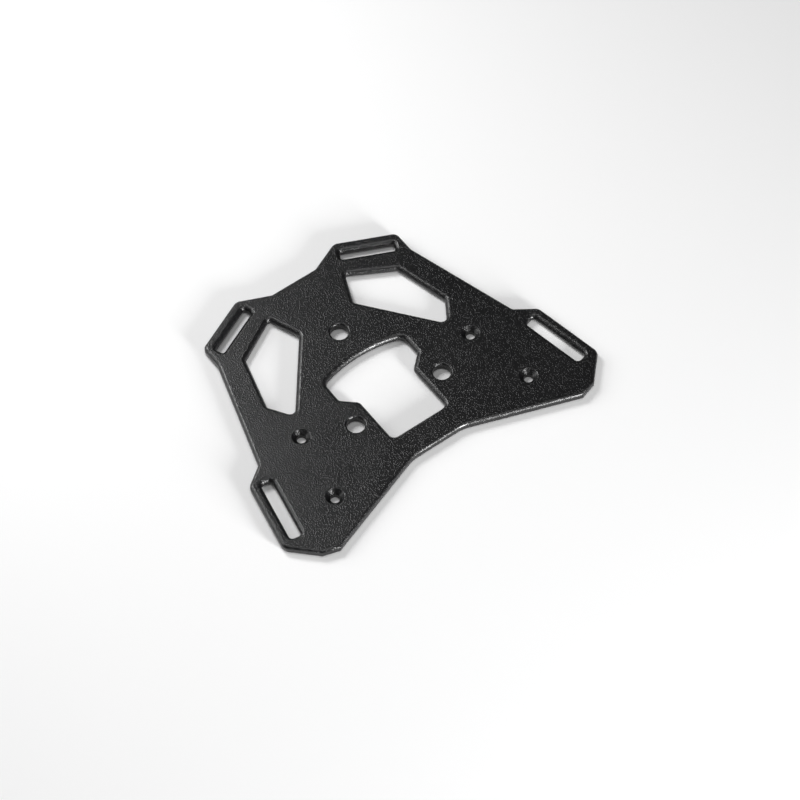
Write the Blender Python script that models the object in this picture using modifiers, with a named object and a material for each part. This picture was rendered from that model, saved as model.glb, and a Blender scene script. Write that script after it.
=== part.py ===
"""Motorcycle luggage rack: one flat coated plate with strap slots, cut-outs and countersunk bolt holes.

The plan is drawn in millimetres with its datum at the central bolt hole, +Y towards the narrow
lobes and X across the plate. The right half is drawn and mirrored. The finished plate lies flat,
with the middle of its underside's bounding box at the world origin.
"""

import math

import bmesh
import bpy
from mathutils import Vector

MM = 0.001

# Plate
THICKNESS = 6.7
EDGE_RADIUS = 2.2  # rounding along the outline, top and bottom
OPENING_WALL_FLAT = 0.5  # straight height between the two roundings of a cut-out or slot wall
EDGE_SEGMENTS = 3

# Right half of the outline, clockwise from the notch between the narrow lobes: x, y, corner radius
NECK = (18.7, 53.8, 3.0)
NARROW_LOBE_INNER = (41.9, 64.1, 6.0)
NARROW_STRAP_EDGE_ANGLE = -24.9  # degrees from +X, along the lobe's outer edge
NARROW_LOBE_TIP_RADIUS = 5.0
NARROW_LOBE_FLANK = 17.3  # from the tip straight back to the root
NARROW_LOBE_ROOT_RADIUS = 7.0
WIDE_LOBE_ROOT = (107.8, -55.5, 4.0)
WIDE_LOBE_SHOULDER = (122.7, -65.9, 6.0)
WIDE_STRAP_EDGE_ANGLE = -79.2
WIDE_LOBE_CORNER_RADIUS = 6.0
WIDE_LOBE_END_OUTER = (114.3, -137.7, 0.0)
WIDE_LOBE_END_INNER = (102.1, -141.3, 0.0)
TAIL_CORNER = (21.1, 24.0)  # x, corner radius
TAIL_WEB = 20.2  # from the central cut-out's rear edge to the tail

# Strap slots run along the outer edge of each lobe: web to that edge, width, overall length,
# corner radius, and how far each end stays from the lobe's corners, along the edge.
# The outer edge is as long as its slot and both distances together.
NARROW_SLOT = {
    "web": 7.8,
    "width": 6.4,
    "length": 39.0,
    "corner": 1.8,
    "start": 2.6,
    "end": 3.4,
}
WIDE_SLOT = {
    "web": 7.5,
    "width": 8.1,
    "length": 47.5,
    "corner": 2.6,
    "start": 1.8,
    "end": 4.8,
}

# Side cut-out, clockwise from its corner near the narrow lobe: x, y, corner radius
SIDE_CUTOUT = (
    (32.7, 37.8, 2.0),
    (64.7, 19.9, 2.0),
    (75.6, -20.7, 3.0),
    (64.6, -37.5, 4.0),
    (23.4, 14.9, 2.0),
)

# Central cut-out: its curved end, the wide part behind it, and the narrower part to the rear
ARCH_TOP = -23.0
ARCH_RADIUS = 100.0
ARCH_CORNER_RADIUS = 5.0
WIDE_PART_HALF_WIDTH = 33.1
SHOULDER_START = (-45.3, 2.5)  # y, corner radius
SHOULDER_END = (-54.8, 4.5)
NARROW_PART_HALF_WIDTH = 22.7
REAR_EDGE = -92.4
REAR_CORNER_RADIUS = 4.0

# Plain bolt holes, chamfered on both faces
BORE_DIAMETER = 12.6
BORE_CHAMFER = 1.0
FRONT_BORE = (0.0, 0.0)
SIDE_BORE = (36.4, -68.8)

# Countersunk bolt holes
SCREW_BORE_DIAMETER = 6.6
COUNTERSINK_DIAMETER = 13.0
COUNTERSINK_ANGLE = 90.0
SCREW_HOLES = ((71.7, -54.8), (81.7, -107.0))

# Modelling
ARC_TOLERANCE = 0.04  # largest distance between a round stretch and its chords
PAST_FACES = 2.0  # how far a cutter reaches beyond the plate
PAST_MIDDLE = 10.0  # how far the drawn half reaches beyond the mirror plane
HOLE_STEPS = 40

COATING_COLOUR = (0.022, 0.022, 0.023, 1.0)
COATING_ROUGHNESS = 0.55


def clear_scene():
    for obj in list(bpy.data.objects):
        bpy.data.objects.remove(obj, do_unlink=True)


def new_collection(name):
    collection = bpy.data.collections.new(name)
    bpy.context.scene.collection.children.link(collection)
    return collection


def arc_points(centre, radius, start, end):
    """Points on an arc from one angle to another, in radians, ends included."""
    step = 2.0 * math.acos(1.0 - ARC_TOLERANCE / radius)
    count = max(1, math.ceil(abs(end - start) / step))
    angles = [start + (end - start) * i / count for i in range(count + 1)]
    return [centre + radius * Vector((math.cos(a), math.sin(a))) for a in angles]


def rounded(corners):
    """Closed outline through corners of (x, y, radius), each turned into a tangent arc."""
    outline = []
    for index, (x, y, radius) in enumerate(corners):
        corner = Vector((x, y))
        if radius == 0.0:
            outline.append(corner)
            continue
        before = Vector(corners[index - 1][:2]) - corner
        after = Vector(corners[(index + 1) % len(corners)][:2]) - corner
        before.normalize()
        after.normalize()
        half_angle = before.angle(after) / 2.0
        centre = corner + (before + after).normalized() * radius / math.sin(half_angle)
        first = corner + before * radius / math.tan(half_angle) - centre
        last = corner + after * radius / math.tan(half_angle) - centre
        start = math.atan2(first.y, first.x)
        sweep = math.atan2(first.cross(last), first.dot(last))
        outline += arc_points(centre, radius, start, start + sweep)
    return outline


def direction(degrees):
    angle = math.radians(degrees)
    return Vector((math.cos(angle), math.sin(angle)))


def strap_edge_end(start, degrees, slot):
    """Far corner of a lobe's outer edge, which takes its length from the slot beside it."""
    reach = slot["start"] + slot["length"] + slot["end"]
    return Vector(start[:2]) + direction(degrees) * reach


def plate_outline():
    """Right half of the plate, carried past the mirror plane."""
    neck_end = (-PAST_MIDDLE, NECK[1], 0.0)
    tail_x, tail_radius = TAIL_CORNER
    tail_y = REAR_EDGE - TAIL_WEB
    tip = strap_edge_end(NARROW_LOBE_INNER, NARROW_STRAP_EDGE_ANGLE, NARROW_SLOT)
    corner = strap_edge_end(WIDE_LOBE_SHOULDER, WIDE_STRAP_EDGE_ANGLE, WIDE_SLOT)
    corners = (
        neck_end,
        NECK,
        NARROW_LOBE_INNER,
        (tip.x, tip.y, NARROW_LOBE_TIP_RADIUS),
        (tip.x, tip.y - NARROW_LOBE_FLANK, NARROW_LOBE_ROOT_RADIUS),
        WIDE_LOBE_ROOT,
        WIDE_LOBE_SHOULDER,
        (corner.x, corner.y, WIDE_LOBE_CORNER_RADIUS),
        WIDE_LOBE_END_OUTER,
        WIDE_LOBE_END_INNER,
        (tail_x, tail_y, tail_radius),
        (-PAST_MIDDLE, tail_y, 0.0),
    )
    return rounded(corners)


def slot_outline(edge_start, edge_degrees, slot):
    """Slot with rounded corners beside a straight edge that starts at a corner of the plate."""
    start = Vector(edge_start[:2])
    along = direction(edge_degrees)
    inward = Vector((along.y, -along.x))
    near = start + along * slot["start"] + inward * slot["web"]
    across = inward * slot["width"]
    ahead = along * slot["length"]
    corners = (near, near + ahead, near + ahead + across, near + across)
    return rounded([(corner.x, corner.y, slot["corner"]) for corner in corners])


def central_outline():
    """Right half of the central cut-out, carried past the mirror plane."""
    arch_centre = Vector((0.0, ARCH_TOP - ARCH_RADIUS))
    corner_x = WIDE_PART_HALF_WIDTH - ARCH_CORNER_RADIUS
    reach = ARCH_RADIUS - ARCH_CORNER_RADIUS
    corner_centre = Vector((corner_x, arch_centre.y + math.sqrt(reach**2 - corner_x**2)))
    meet = math.atan2(corner_centre.y - arch_centre.y, corner_x)
    past = math.pi / 2.0 + math.asin(PAST_MIDDLE / ARCH_RADIUS)
    arch = arc_points(arch_centre, ARCH_RADIUS, past, meet)
    corner = arc_points(corner_centre, ARCH_CORNER_RADIUS, meet, 0.0)
    rest = (
        (WIDE_PART_HALF_WIDTH, corner_centre.y, 0.0),
        (WIDE_PART_HALF_WIDTH, *SHOULDER_START),
        (NARROW_PART_HALF_WIDTH, *SHOULDER_END),
        (NARROW_PART_HALF_WIDTH, REAR_EDGE, REAR_CORNER_RADIUS),
        (-PAST_MIDDLE, REAR_EDGE, 0.0),
        (-PAST_MIDDLE, arch[0].y, 0.0),
    )
    return arch[1:] + corner[1:-1] + rounded(rest)


def prism(name, outline, bottom, top, collection):
    """Upright solid from a flat curve, made a mesh so that it can be cut or can cut."""
    data = bpy.data.curves.new(name, "CURVE")
    data.dimensions = "2D"
    data.fill_mode = "BOTH"
    data.extrude = (top - bottom) / 2.0 * MM
    spline = data.splines.new("POLY")
    spline.points.add(len(outline) - 1)
    for spline_point, point in zip(spline.points, outline):
        spline_point.co = (point.x * MM, point.y * MM, 0.0, 1.0)
    spline.use_cyclic_u = True
    curve = bpy.data.objects.new(name + "_curve", data)
    curve.location.z = (top + bottom) / 2.0 * MM
    collection.objects.link(curve)
    bpy.context.view_layer.update()

    graph = bpy.context.evaluated_depsgraph_get()
    mesh = bpy.data.meshes.new_from_object(curve.evaluated_get(graph))
    solid = bpy.data.objects.new(name, mesh)
    solid.matrix_world = curve.matrix_world
    collection.objects.link(solid)
    bpy.data.objects.remove(curve, do_unlink=True)

    welded = bmesh.new()
    welded.from_mesh(mesh)
    bmesh.ops.remove_doubles(welded, verts=welded.verts, dist=0.00001)
    bmesh.ops.dissolve_limit(
        welded, angle_limit=math.radians(0.5), verts=welded.verts, edges=welded.edges
    )
    bmesh.ops.recalc_face_normals(welded, faces=welded.faces)
    welded.to_mesh(mesh)
    welded.free()
    return solid


def hide_cutter(obj):
    obj.hide_render = True
    obj.display_type = "WIRE"


def mirror_across(obj, bisect):
    mirror = obj.modifiers.new("other_half", "MIRROR")
    mirror.use_axis[0] = True
    mirror.use_bisect_axis[0] = bisect
    mirror.merge_threshold = 0.00001


def cut_through(name, outline, collection):
    cutter = prism(name, outline, -PAST_FACES, THICKNESS + PAST_FACES, collection)
    hide_cutter(cutter)
    return cutter


def cut_both_sides(name, outline, collection):
    mirror_across(cut_through(name, outline, collection), bisect=False)


def turned_cutter(name, profile, collection):
    """Hole cutter turned about its own Z axis from a profile of (radius, height), top to bottom."""
    mesh = bpy.data.meshes.new(name)
    drawn = bmesh.new()
    points = [drawn.verts.new((radius * MM, 0.0, z * MM)) for radius, z in profile]
    for first, second in zip(points, points[1:]):
        drawn.edges.new((first, second))
    drawn.to_mesh(mesh)
    drawn.free()
    cutter = bpy.data.objects.new(name, mesh)
    collection.objects.link(cutter)
    screw = cutter.modifiers.new("turn", "SCREW")
    screw.axis = "Z"
    screw.steps = HOLE_STEPS
    screw.render_steps = HOLE_STEPS
    screw.use_merge_vertices = True
    screw.merge_threshold = 0.00001
    hide_cutter(cutter)
    return cutter


def bore_profile():
    """Straight bore with a chamfer of 45 degrees at each face, carried on past both."""
    radius = BORE_DIAMETER / 2.0
    flared = radius + BORE_CHAMFER + PAST_FACES
    return (
        (0.0, THICKNESS + PAST_FACES),
        (flared, THICKNESS + PAST_FACES),
        (radius, THICKNESS - BORE_CHAMFER),
        (radius, BORE_CHAMFER),
        (flared, -PAST_FACES),
        (0.0, -PAST_FACES),
    )


def screw_hole_profile():
    """Bore with a countersink above it, both carried on past the faces."""
    radius = SCREW_BORE_DIAMETER / 2.0
    slope = math.tan(math.radians(COUNTERSINK_ANGLE / 2.0))
    rim_radius = COUNTERSINK_DIAMETER / 2.0
    return (
        (0.0, THICKNESS + PAST_FACES),
        (rim_radius + PAST_FACES * slope, THICKNESS + PAST_FACES),
        (radius, THICKNESS - (rim_radius - radius) / slope),
        (radius, -PAST_FACES),
        (0.0, -PAST_FACES),
    )


def place_holes(name, profile, places, collection):
    """One turned cutter for each place, all sharing a mesh."""
    first = turned_cutter(name, profile, collection)
    for number, (x, y) in enumerate(places):
        cutter = first if number == 0 else first.copy()
        cutter.name = f"{name}_{number + 1}"
        cutter.location = (x * MM, y * MM, 0.0)
        if number:
            collection.objects.link(cutter)


def round_sharp_edges(obj, name, radius):
    """Rounds only edges that are still sharp, so one call doesn't touch what an earlier one rounded."""
    rims = obj.modifiers.new(name, "BEVEL")
    rims.width = radius * MM
    rims.segments = EDGE_SEGMENTS
    rims.limit_method = "ANGLE"
    rims.angle_limit = math.radians(60.0)
    rims.use_clamp_overlap = False
    rims.loop_slide = False


def cut_away(obj, name, collection):
    cut = obj.modifiers.new(name, "BOOLEAN")
    cut.operation = "DIFFERENCE"
    cut.operand_type = "COLLECTION"
    cut.collection = collection


def both_sides(places):
    return [(side * x, y) for x, y in places for side in (1, -1)]


def coating():
    material = bpy.data.materials.new("black_powder_coat")
    material.use_nodes = True
    shader = material.node_tree.nodes["Principled BSDF"]
    shader.inputs["Base Color"].default_value = COATING_COLOUR
    shader.inputs["Roughness"].default_value = COATING_ROUGHNESS
    shader.inputs["Metallic"].default_value = 0.0
    return material


def main():
    clear_scene()
    rack = new_collection("luggage_rack")
    cutters = new_collection("cutters")
    hole_cutters = new_collection("hole_cutters")

    outline = plate_outline()
    plate = prism("rack_plate", outline, 0.0, THICKNESS, rack)
    mirror_across(plate, bisect=True)

    central = cut_through("central_cutout", central_outline(), cutters)
    mirror_across(central, bisect=True)
    cut_both_sides("side_cutout", rounded(SIDE_CUTOUT), cutters)
    narrow_slot = slot_outline(NARROW_LOBE_INNER, NARROW_STRAP_EDGE_ANGLE, NARROW_SLOT)
    cut_both_sides("narrow_lobe_slot", narrow_slot, cutters)
    wide_slot = slot_outline(WIDE_LOBE_SHOULDER, WIDE_STRAP_EDGE_ANGLE, WIDE_SLOT)
    cut_both_sides("wide_lobe_slot", wide_slot, cutters)

    place_holes("bore", bore_profile(), [FRONT_BORE] + both_sides([SIDE_BORE]), hole_cutters)
    place_holes("screw_hole", screw_hole_profile(), both_sides(SCREW_HOLES), hole_cutters)

    round_sharp_edges(plate, "rounded_outline", EDGE_RADIUS)
    cut_away(plate, "openings", cutters)
    opening_radius = (THICKNESS - OPENING_WALL_FLAT) / 2.0
    round_sharp_edges(plate, "rounded_openings", opening_radius)
    cut_away(plate, "holes", hole_cutters)

    plate.data.materials.append(coating())

    # The plan's datum moves so that the bounding box is centred on the world's Z axis
    middle = (max(p.y for p in outline) + min(p.y for p in outline)) / 2.0
    for obj in list(rack.objects) + list(cutters.objects) + list(hole_cutters.objects):
        obj.location.y -= middle * MM


main()
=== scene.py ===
# Motorcycle luggage rack: one flat plate with rounded rims in black textured powder coat.
import math
import bmesh
import bpy
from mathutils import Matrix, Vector


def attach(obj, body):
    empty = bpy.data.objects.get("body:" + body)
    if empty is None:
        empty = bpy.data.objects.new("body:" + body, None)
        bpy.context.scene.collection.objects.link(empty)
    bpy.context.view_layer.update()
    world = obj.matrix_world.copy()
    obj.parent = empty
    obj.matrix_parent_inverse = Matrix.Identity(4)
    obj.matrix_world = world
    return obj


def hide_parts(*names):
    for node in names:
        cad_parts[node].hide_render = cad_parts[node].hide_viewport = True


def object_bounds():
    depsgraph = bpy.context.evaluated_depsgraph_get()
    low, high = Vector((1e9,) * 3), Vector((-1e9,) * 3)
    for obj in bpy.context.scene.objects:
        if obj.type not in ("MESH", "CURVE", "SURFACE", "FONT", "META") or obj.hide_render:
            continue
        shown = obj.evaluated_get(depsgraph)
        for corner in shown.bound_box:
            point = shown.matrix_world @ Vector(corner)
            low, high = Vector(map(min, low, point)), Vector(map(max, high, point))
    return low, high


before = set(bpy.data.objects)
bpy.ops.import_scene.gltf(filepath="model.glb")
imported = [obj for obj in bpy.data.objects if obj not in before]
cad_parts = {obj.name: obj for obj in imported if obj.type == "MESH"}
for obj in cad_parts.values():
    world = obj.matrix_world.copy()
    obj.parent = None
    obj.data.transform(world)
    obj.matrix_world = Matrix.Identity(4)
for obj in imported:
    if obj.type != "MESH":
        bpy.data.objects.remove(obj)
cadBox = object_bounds()
mm = 0.001  # the plate's sizes are in millimetres

# The outline is drawn from the middle bolt hole, y towards the narrow lobes. Each corner is
# x, y and the radius it is rounded to, for the right half only.
plate = {
    "thickness": 6.7,
    "rimRadius": 2.2,
    "rimProfile": 0.46,  # 0.5 is a quarter circle and 0.25 a flat chamfer
    "rimSegments": 8,
    "rimAngle": 60.0,  # degrees that an edge turns before it counts as a rim
    "smoothAngle": 35.0,  # degrees up to which shading runs on over an edge
    "cornerSegments": 10,
    "outline": (
        (18.7, 53.8, 3.0),
        (41.9, 64.1, 6.0),
        (82.72, 45.15, 5.0),
        (82.72, 27.85, 7.0),
        (107.8, -55.5, 4.0),
        (122.7, -65.9, 6.0),
        (132.84, -119.04, 6.0),
        (114.3, -137.7, 0.0),
        (102.1, -141.3, 0.0),
        (21.1, -112.6, 24.0),
    ),
}
cutouts = {
    "past": 2.0,  # how far a cutter reaches beyond the plate
    "rimRadius": 3.1,  # rounder than the outline, so their walls are nearly half circles
    "side": (
        (32.7, 37.8, 2.0),
        (64.7, 19.9, 2.0),
        (75.6, -20.7, 3.0),
        (64.6, -37.5, 4.0),
        (23.4, 14.9, 2.0),
    ),
    "arch": {"top": -23.0, "radius": 100.0, "halfWidth": 33.1, "corner": 5.0, "steps": 16},
    "rear": ((33.1, -45.3, 2.5), (22.7, -54.8, 4.5), (22.7, -92.4, 4.0)),
}
# Each strap slot lies along one edge of the outline
slots = {
    "narrow": {
        "edge": (1, 2),  # the edge's two corners, counted from zero in the outline
        "web": 7.8,  # from the plate's edge to the slot
        "width": 6.4,
        "length": 39.0,
        "corner": 1.8,
        "start": 2.6,  # from the first corner, along the edge
    },
    "wide": {"edge": (5, 6), "web": 7.5, "width": 8.1, "length": 47.5, "corner": 2.6, "start": 1.8},
}
holes = {
    "bore": {"radius": 6.3, "chamfer": 1.0, "places": ((0.0, 0.0), (36.4, -68.8), (-36.4, -68.8))},
    "screw": {
        "radius": 3.3,
        "rim": 6.5,  # the countersink's radius at the top face
        "places": ((71.7, -54.8), (-71.7, -54.8), (81.7, -107.0), (-81.7, -107.0)),
    },
    "steps": 96,
    # the coating rounds the edges of the holes
    "softening": {"radius": 0.3, "segments": 3, "angle": 30.0},
}


def selectOnly(obj):
    bpy.ops.object.select_all(action="DESELECT")
    obj.select_set(True)
    bpy.context.view_layer.objects.active = obj


def applyModifier(obj, kind, **settings):
    selectOnly(obj)
    modifier = obj.modifiers.new(kind.lower(), kind)
    for name, value in settings.items():
        setattr(modifier, name, value)
    bpy.ops.object.modifier_apply(modifier=modifier.name)


def extrudedShape(name, corners, bottom, top):
    # a filled circle with one vertex for each corner, its vertices moved to the corners
    startRadius = 0.1
    sameSpot = 0.01 * mm
    bpy.ops.object.select_all(action="DESELECT")
    bpy.ops.mesh.primitive_circle_add(vertices=len(corners), radius=startRadius, fill_type="NGON")
    obj = bpy.context.object
    obj.name = name
    for vertex, (x, y, radius) in zip(obj.data.vertices, corners):
        vertex.co = (x * mm, y * mm, bottom * mm)
    bpy.ops.object.mode_set(mode="EDIT")
    for index, (x, y, radius) in enumerate(corners):
        if radius == 0.0:
            continue
        corner = Vector((x, y))
        before = Vector(corners[index - 1][:2]) - corner
        after = Vector(corners[(index + 1) % len(corners)][:2]) - corner
        reach = radius / math.tan(before.angle(after) / 2.0)
        mesh = bmesh.from_edit_mesh(obj.data)
        for vertex in mesh.verts:
            vertex.select = (vertex.co.xy - corner * mm).length < sameSpot
        mesh.select_flush_mode()
        bmesh.update_edit_mesh(obj.data)
        bpy.ops.mesh.bevel(
            offset=reach * mm,
            segments=plate["cornerSegments"],
            affect="VERTICES",
            clamp_overlap=False,
        )
    rise = (0.0, 0.0, (top - bottom) * mm)
    bpy.ops.mesh.select_all(action="SELECT")
    bpy.ops.mesh.extrude_region_move(TRANSFORM_OT_translate={"value": rise})
    bpy.ops.mesh.select_all(action="SELECT")
    bpy.ops.mesh.normals_make_consistent(inside=False)
    bpy.ops.object.mode_set(mode="OBJECT")
    return obj


def mirrored(corners):
    return [(-x, y, radius) for x, y, radius in reversed(corners)]


def cutter(name, corners):
    return extrudedShape(name, corners, -cutouts["past"], plate["thickness"] + cutouts["past"])


def slotCorners(slot):
    first, second = (Vector(plate["outline"][corner][:2]) for corner in slot["edge"])
    along = (second - first).normalized()
    inward = Vector((along.y, -along.x))
    near = first + along * slot["start"] + inward * slot["web"]
    ahead = along * slot["length"]
    across = inward * slot["width"]
    points = (near, near + ahead, near + ahead + across, near + across)
    return [(*point, slot["corner"]) for point in points]


def centralCorners():
    # the curved end runs from right to left, then come both sides of the rest
    arch = cutouts["arch"]
    reach = math.asin(arch["halfWidth"] / arch["radius"])
    points = []
    for step in range(arch["steps"] + 1):
        turn = reach - 2.0 * reach * step / arch["steps"]
        drop = arch["radius"] * (1.0 - math.cos(turn))
        corner = arch["corner"] if step in (0, arch["steps"]) else 0.0
        points.append((arch["radius"] * math.sin(turn), arch["top"] - drop, corner))
    left = [(-x, y, radius) for x, y, radius in cutouts["rear"]]
    return points + left + list(reversed(cutouts["rear"]))


def holeCutter(name, radius, lower, upper, place):
    # a rod whose ends are drawn out past the faces, each flared at 45 degrees by its chamfer
    thickness = plate["thickness"]
    past = cutouts["past"]
    nearlyUpright = 0.9
    bpy.ops.object.select_all(action="DESELECT")
    bpy.ops.mesh.primitive_cylinder_add(
        vertices=holes["steps"],
        radius=radius * mm,
        depth=(thickness - lower - upper) * mm,
        location=(place[0] * mm, place[1] * mm, (thickness + lower - upper) / 2.0 * mm),
    )
    obj = bpy.context.object
    obj.name = name
    bpy.ops.object.transform_apply(location=True, rotation=False, scale=False)
    bpy.ops.object.mode_set(mode="EDIT")
    for way, chamfer in ((1.0, upper), (-1.0, lower)):
        bpy.ops.mesh.select_all(action="DESELECT")
        mesh = bmesh.from_edit_mesh(obj.data)
        for face in mesh.faces:
            if face.normal.z * way > nearlyUpright:
                face.select = True
        bmesh.update_edit_mesh(obj.data)
        outward = (0.0, 0.0, way * (chamfer + past) * mm)
        bpy.ops.mesh.extrude_region_move(TRANSFORM_OT_translate={"value": outward})
        if chamfer > 0.0:
            flare = (radius + chamfer + past) / radius
            centre = (place[0] * mm, place[1] * mm, 0.0)
            bpy.ops.transform.resize(value=(flare, flare, 1.0), center_override=centre)
    bpy.ops.mesh.select_all(action="SELECT")
    bpy.ops.mesh.normals_make_consistent(inside=False)
    bpy.ops.object.mode_set(mode="OBJECT")
    return obj


def cutWith(obj, tool):
    applyModifier(obj, "BOOLEAN", operation="DIFFERENCE", solver="EXACT", object=tool)
    bpy.data.objects.remove(tool, do_unlink=True)


def roundSharpEdges(obj, radius, segments, angle, profile=0.5):
    applyModifier(
        obj,
        "BEVEL",
        width=radius * mm,
        segments=segments,
        profile=profile,
        limit_method="ANGLE",
        angle_limit=math.radians(angle),
        use_clamp_overlap=False,
        loop_slide=False,
    )


def roundRims(obj, radius):
    roundSharpEdges(obj, radius, plate["rimSegments"], plate["rimAngle"], plate["rimProfile"])


def cutHoles(obj):
    bore = holes["bore"]
    for place in bore["places"]:
        cutWith(obj, holeCutter("bore", bore["radius"], bore["chamfer"], bore["chamfer"], place))
    screw = holes["screw"]
    countersink = screw["rim"] - screw["radius"]
    for place in screw["places"]:
        cutWith(obj, holeCutter("screw_hole", screw["radius"], 0.0, countersink, place))
    softening = holes["softening"]
    roundSharpEdges(obj, softening["radius"], softening["segments"], softening["angle"])


def centreOnCad(obj):
    # the outline was drawn from the middle bolt hole, which isn't the middle of the CAD plate
    along = [vertex.co.y for vertex in obj.data.vertices]
    shift = (cadBox[0].y + cadBox[1].y) / 2.0 - (min(along) + max(along)) / 2.0
    selectOnly(obj)
    obj.location.y = shift
    bpy.ops.object.transform_apply(location=True, rotation=True, scale=True)
    print("plate moved", round(shift / mm, 3), "mm")


def makePlate():
    outline = list(plate["outline"]) + mirrored(plate["outline"])
    obj = extrudedShape("coated_plate", outline, 0.0, plate["thickness"])
    roundRims(obj, plate["rimRadius"])
    shapes = [cutouts["side"]] + [slotCorners(slot) for slot in slots.values()]
    for shape in shapes:
        cutWith(obj, cutter("opening", shape))
        cutWith(obj, cutter("opening", mirrored(shape)))
    cutWith(obj, cutter("central_opening", centralCorners()))
    roundRims(obj, cutouts["rimRadius"])
    cutHoles(obj)
    centreOnCad(obj)
    bpy.ops.object.shade_smooth_by_angle(angle=math.radians(plate["smoothAngle"]))
    applyModifier(obj, "WEIGHTED_NORMAL", keep_sharp=True)
    print("plate shaped:", len(obj.data.polygons), "faces")
    return obj


def hexColour(text):
    # the sRGB curve, from a hex value to linear light
    parts = [int(text[start : start + 2], 16) / 255.0 for start in (0, 2, 4)]
    linear = [part / 12.92 if part <= 0.04045 else ((part + 0.055) / 1.055) ** 2.4 for part in parts]
    return (*linear, 1.0)


def addNode(material, kind, settings=None, links=None):
    # a socket is named, or numbered where several share a name
    node = material.node_tree.nodes.new(kind)
    for name, value in (settings or {}).items():
        if isinstance(name, int) or name in node.inputs:
            node.inputs[name].default_value = value
        else:
            setattr(node, name, value)
    for name, source in (links or {}).items():
        material.node_tree.links.new(source, node.inputs[name])
    return node


def emptyMaterial(name):
    material = bpy.data.materials.new(name)
    material.use_nodes = True
    material.node_tree.nodes.clear()
    return material


# Black polyester powder coat, sprayed and baked with a fine texture: a near-black, half-gloss
# skin whose small grains catch the light as speckle.
coat = {
    "dark": "080809",
    "light": "131315",
    "roughness": 0.31,
    "roughnessSpread": 0.06,  # how far the slow clouds move the roughness either way
    "index": 1.6,  # refractive index of a pigmented polyester
    "grit": 1.2,  # millimetres between grains, drawn about twice as coarse as real so that it shows
    "gritHeight": 0.11,  # millimetres
    "grainFoot": 0.5,  # distance from a grain's middle, in grits, where it starts to rise
    "grainCrown": 0.15,  # and where it is at its full height
    "cloud": 18.0,  # millimetres between slow changes of gloss
    "cloudDetail": 3.0,
    "cloudRoughness": 0.55,
}


def makeCoating():
    material = emptyMaterial("fine_texture_powder_coat")
    place = addNode(material, "ShaderNodeTexCoord").outputs["Object"]
    sand = addNode(
        material,
        "ShaderNodeTexVoronoi",
        {"Scale": 1.0 / (coat["grit"] * mm), "Randomness": 1.0},
        {"Vector": place},
    ).outputs["Distance"]
    # each cell that the surface cuts near its middle stands up as a grain, on a flatter ground
    grain = addNode(
        material,
        "ShaderNodeMapRange",
        {
            "interpolation_type": "SMOOTHSTEP",
            "From Min": coat["grainFoot"],
            "From Max": coat["grainCrown"],
        },
        {"Value": sand},
    ).outputs["Result"]
    cloud = addNode(
        material,
        "ShaderNodeTexNoise",
        {
            "Scale": 1.0 / (coat["cloud"] * mm),
            "Detail": coat["cloudDetail"],
            "Roughness": coat["cloudRoughness"],
        },
        {"Vector": place},
    ).outputs["Fac"]
    # sockets 0, 6, 7 and output 2 are the mix's factor, its two colours and its result
    colour = addNode(
        material,
        "ShaderNodeMix",
        {"data_type": "RGBA", 6: hexColour(coat["dark"]), 7: hexColour(coat["light"])},
        {0: grain},
    ).outputs[2]
    rough = addNode(
        material,
        "ShaderNodeMapRange",
        {
            "To Min": coat["roughness"] - coat["roughnessSpread"],
            "To Max": coat["roughness"] + coat["roughnessSpread"],
        },
        {"Value": cloud},
    ).outputs["Result"]
    bump = addNode(
        material,
        "ShaderNodeBump",
        {"Strength": 1.0, "Distance": coat["gritHeight"] * mm},
        {"Height": grain},
    ).outputs["Normal"]
    shader = addNode(
        material,
        "ShaderNodeBsdfPrincipled",
        {"IOR": coat["index"]},
        {"Base Color": colour, "Roughness": rough, "Normal": bump},
    )
    addNode(material, "ShaderNodeOutputMaterial", {}, {"Surface": shader.outputs[0]})
    print("coating made")
    return material


# Matt white paper, pressed smooth: an even ground that mirrors nothing and takes soft shadows
floor = {
    "size": 12.0,  # metres
    "below": 0.2,  # millimetres under the plate
    "colour": "F7F7F7",
    "roughness": 0.9,
}


def makeFloor():
    bpy.ops.object.select_all(action="DESELECT")
    bpy.ops.mesh.primitive_plane_add(size=floor["size"], location=(0.0, 0.0, -floor["below"] * mm))
    obj = bpy.context.object
    obj.name = "floor"
    material = emptyMaterial("matt_white_paper")
    shader = addNode(
        material,
        "ShaderNodeBsdfPrincipled",
        {"Base Color": hexColour(floor["colour"]), "Roughness": floor["roughness"]},
    )
    addNode(material, "ShaderNodeOutputMaterial", {}, {"Surface": shader.outputs[0]})
    obj.data.materials.append(material)


# The photograph's viewpoint, from a camera fitted to the plate's edges
camera = {
    "place": (-0.7882, -1.0857, 1.9275),
    "aim": (0.33827, 0.45266, -0.82503),
    "lens": 154.44,
    "sensor": 36.0,
    "nearest": 0.05,  # metres
}


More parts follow.
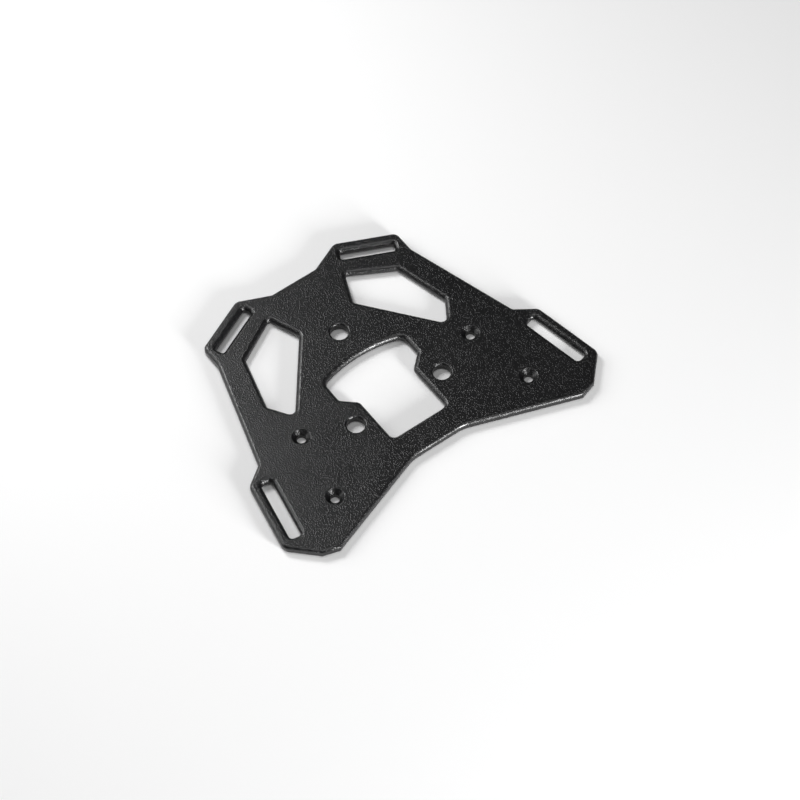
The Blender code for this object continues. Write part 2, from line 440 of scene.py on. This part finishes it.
def makeCamera():
    data = bpy.data.cameras.new("camera")
    data.sensor_width = camera["sensor"]
    data.lens = camera["lens"]
    data.clip_start = camera["nearest"]
    obj = bpy.data.objects.new("camera", data)
    obj.location = camera["place"]
    obj.rotation_euler = Vector(camera["aim"]).to_track_quat("-Z", "Y").to_euler()
    bpy.context.scene.collection.objects.link(obj)
    bpy.context.scene.camera = obj


# Soft lamps, as seen from the plate: azimuth from +X and elevation in degrees, distance and size
# in metres, power in watts
lamps = {
    # low and bright, for the light band along the front walls
    "front_right": {
        "azimuth": -82.0, "elevation": 11.0, "distance": 1.6, "size": (0.36, 0.5), "power": 40.0
    },
    # throws the soft shadow to the front right
    "back_left": {
        "azimuth": 128.0, "elevation": 27.0, "distance": 2.5, "size": (2.0, 0.9), "power": 20.0
    },
    # near, and beside the mirror direction of the top face, for its sheen
    "overhead": {
        "azimuth": 101.0, "elevation": 50.0, "distance": 0.9, "size": (0.3, 0.3), "power": 4.2
    },
    # lights the floor in the openings
    "top": {
        "azimuth": 250.0, "elevation": 75.0, "distance": 1.8, "size": (1.0, 1.0), "power": 6.8
    },
}


def lampDirection(lamp):
    azimuth = math.radians(lamp["azimuth"])
    elevation = math.radians(lamp["elevation"])
    level = math.cos(elevation)
    return Vector((math.cos(azimuth) * level, math.sin(azimuth) * level, math.sin(elevation)))


def makeLamps():
    for name, lamp in lamps.items():
        out = lampDirection(lamp)
        data = bpy.data.lights.new(name, "AREA")
        data.shape = "RECTANGLE"
        data.size, data.size_y = lamp["size"]
        data.energy = lamp["power"]
        obj = bpy.data.objects.new(name, data)
        obj.location = out * lamp["distance"]
        obj.rotation_euler = (-out).to_track_quat("-Z", "Y").to_euler()
        bpy.context.scene.collection.objects.link(obj)


# A faint even light from all round
studio = {"colour": "FFFFFF", "strength": 0.07}


def makeWorld():
    world = bpy.data.worlds.new("studio")
    bpy.context.scene.world = world
    world.use_nodes = True
    background = world.node_tree.nodes["Background"]
    background.inputs["Color"].default_value = hexColour(studio["colour"])
    background.inputs["Strength"].default_value = studio["strength"]


makeCamera()
makeFloor()
print("camera and floor made")
rack = makePlate()
rack.data.materials.clear()
rack.data.materials.append(makeCoating())
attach(rack, "root")
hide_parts("rack_plate")
makeLamps()
makeWorld()
bpy.context.scene.view_settings.view_transform = "Standard"
print("lamps and world made")
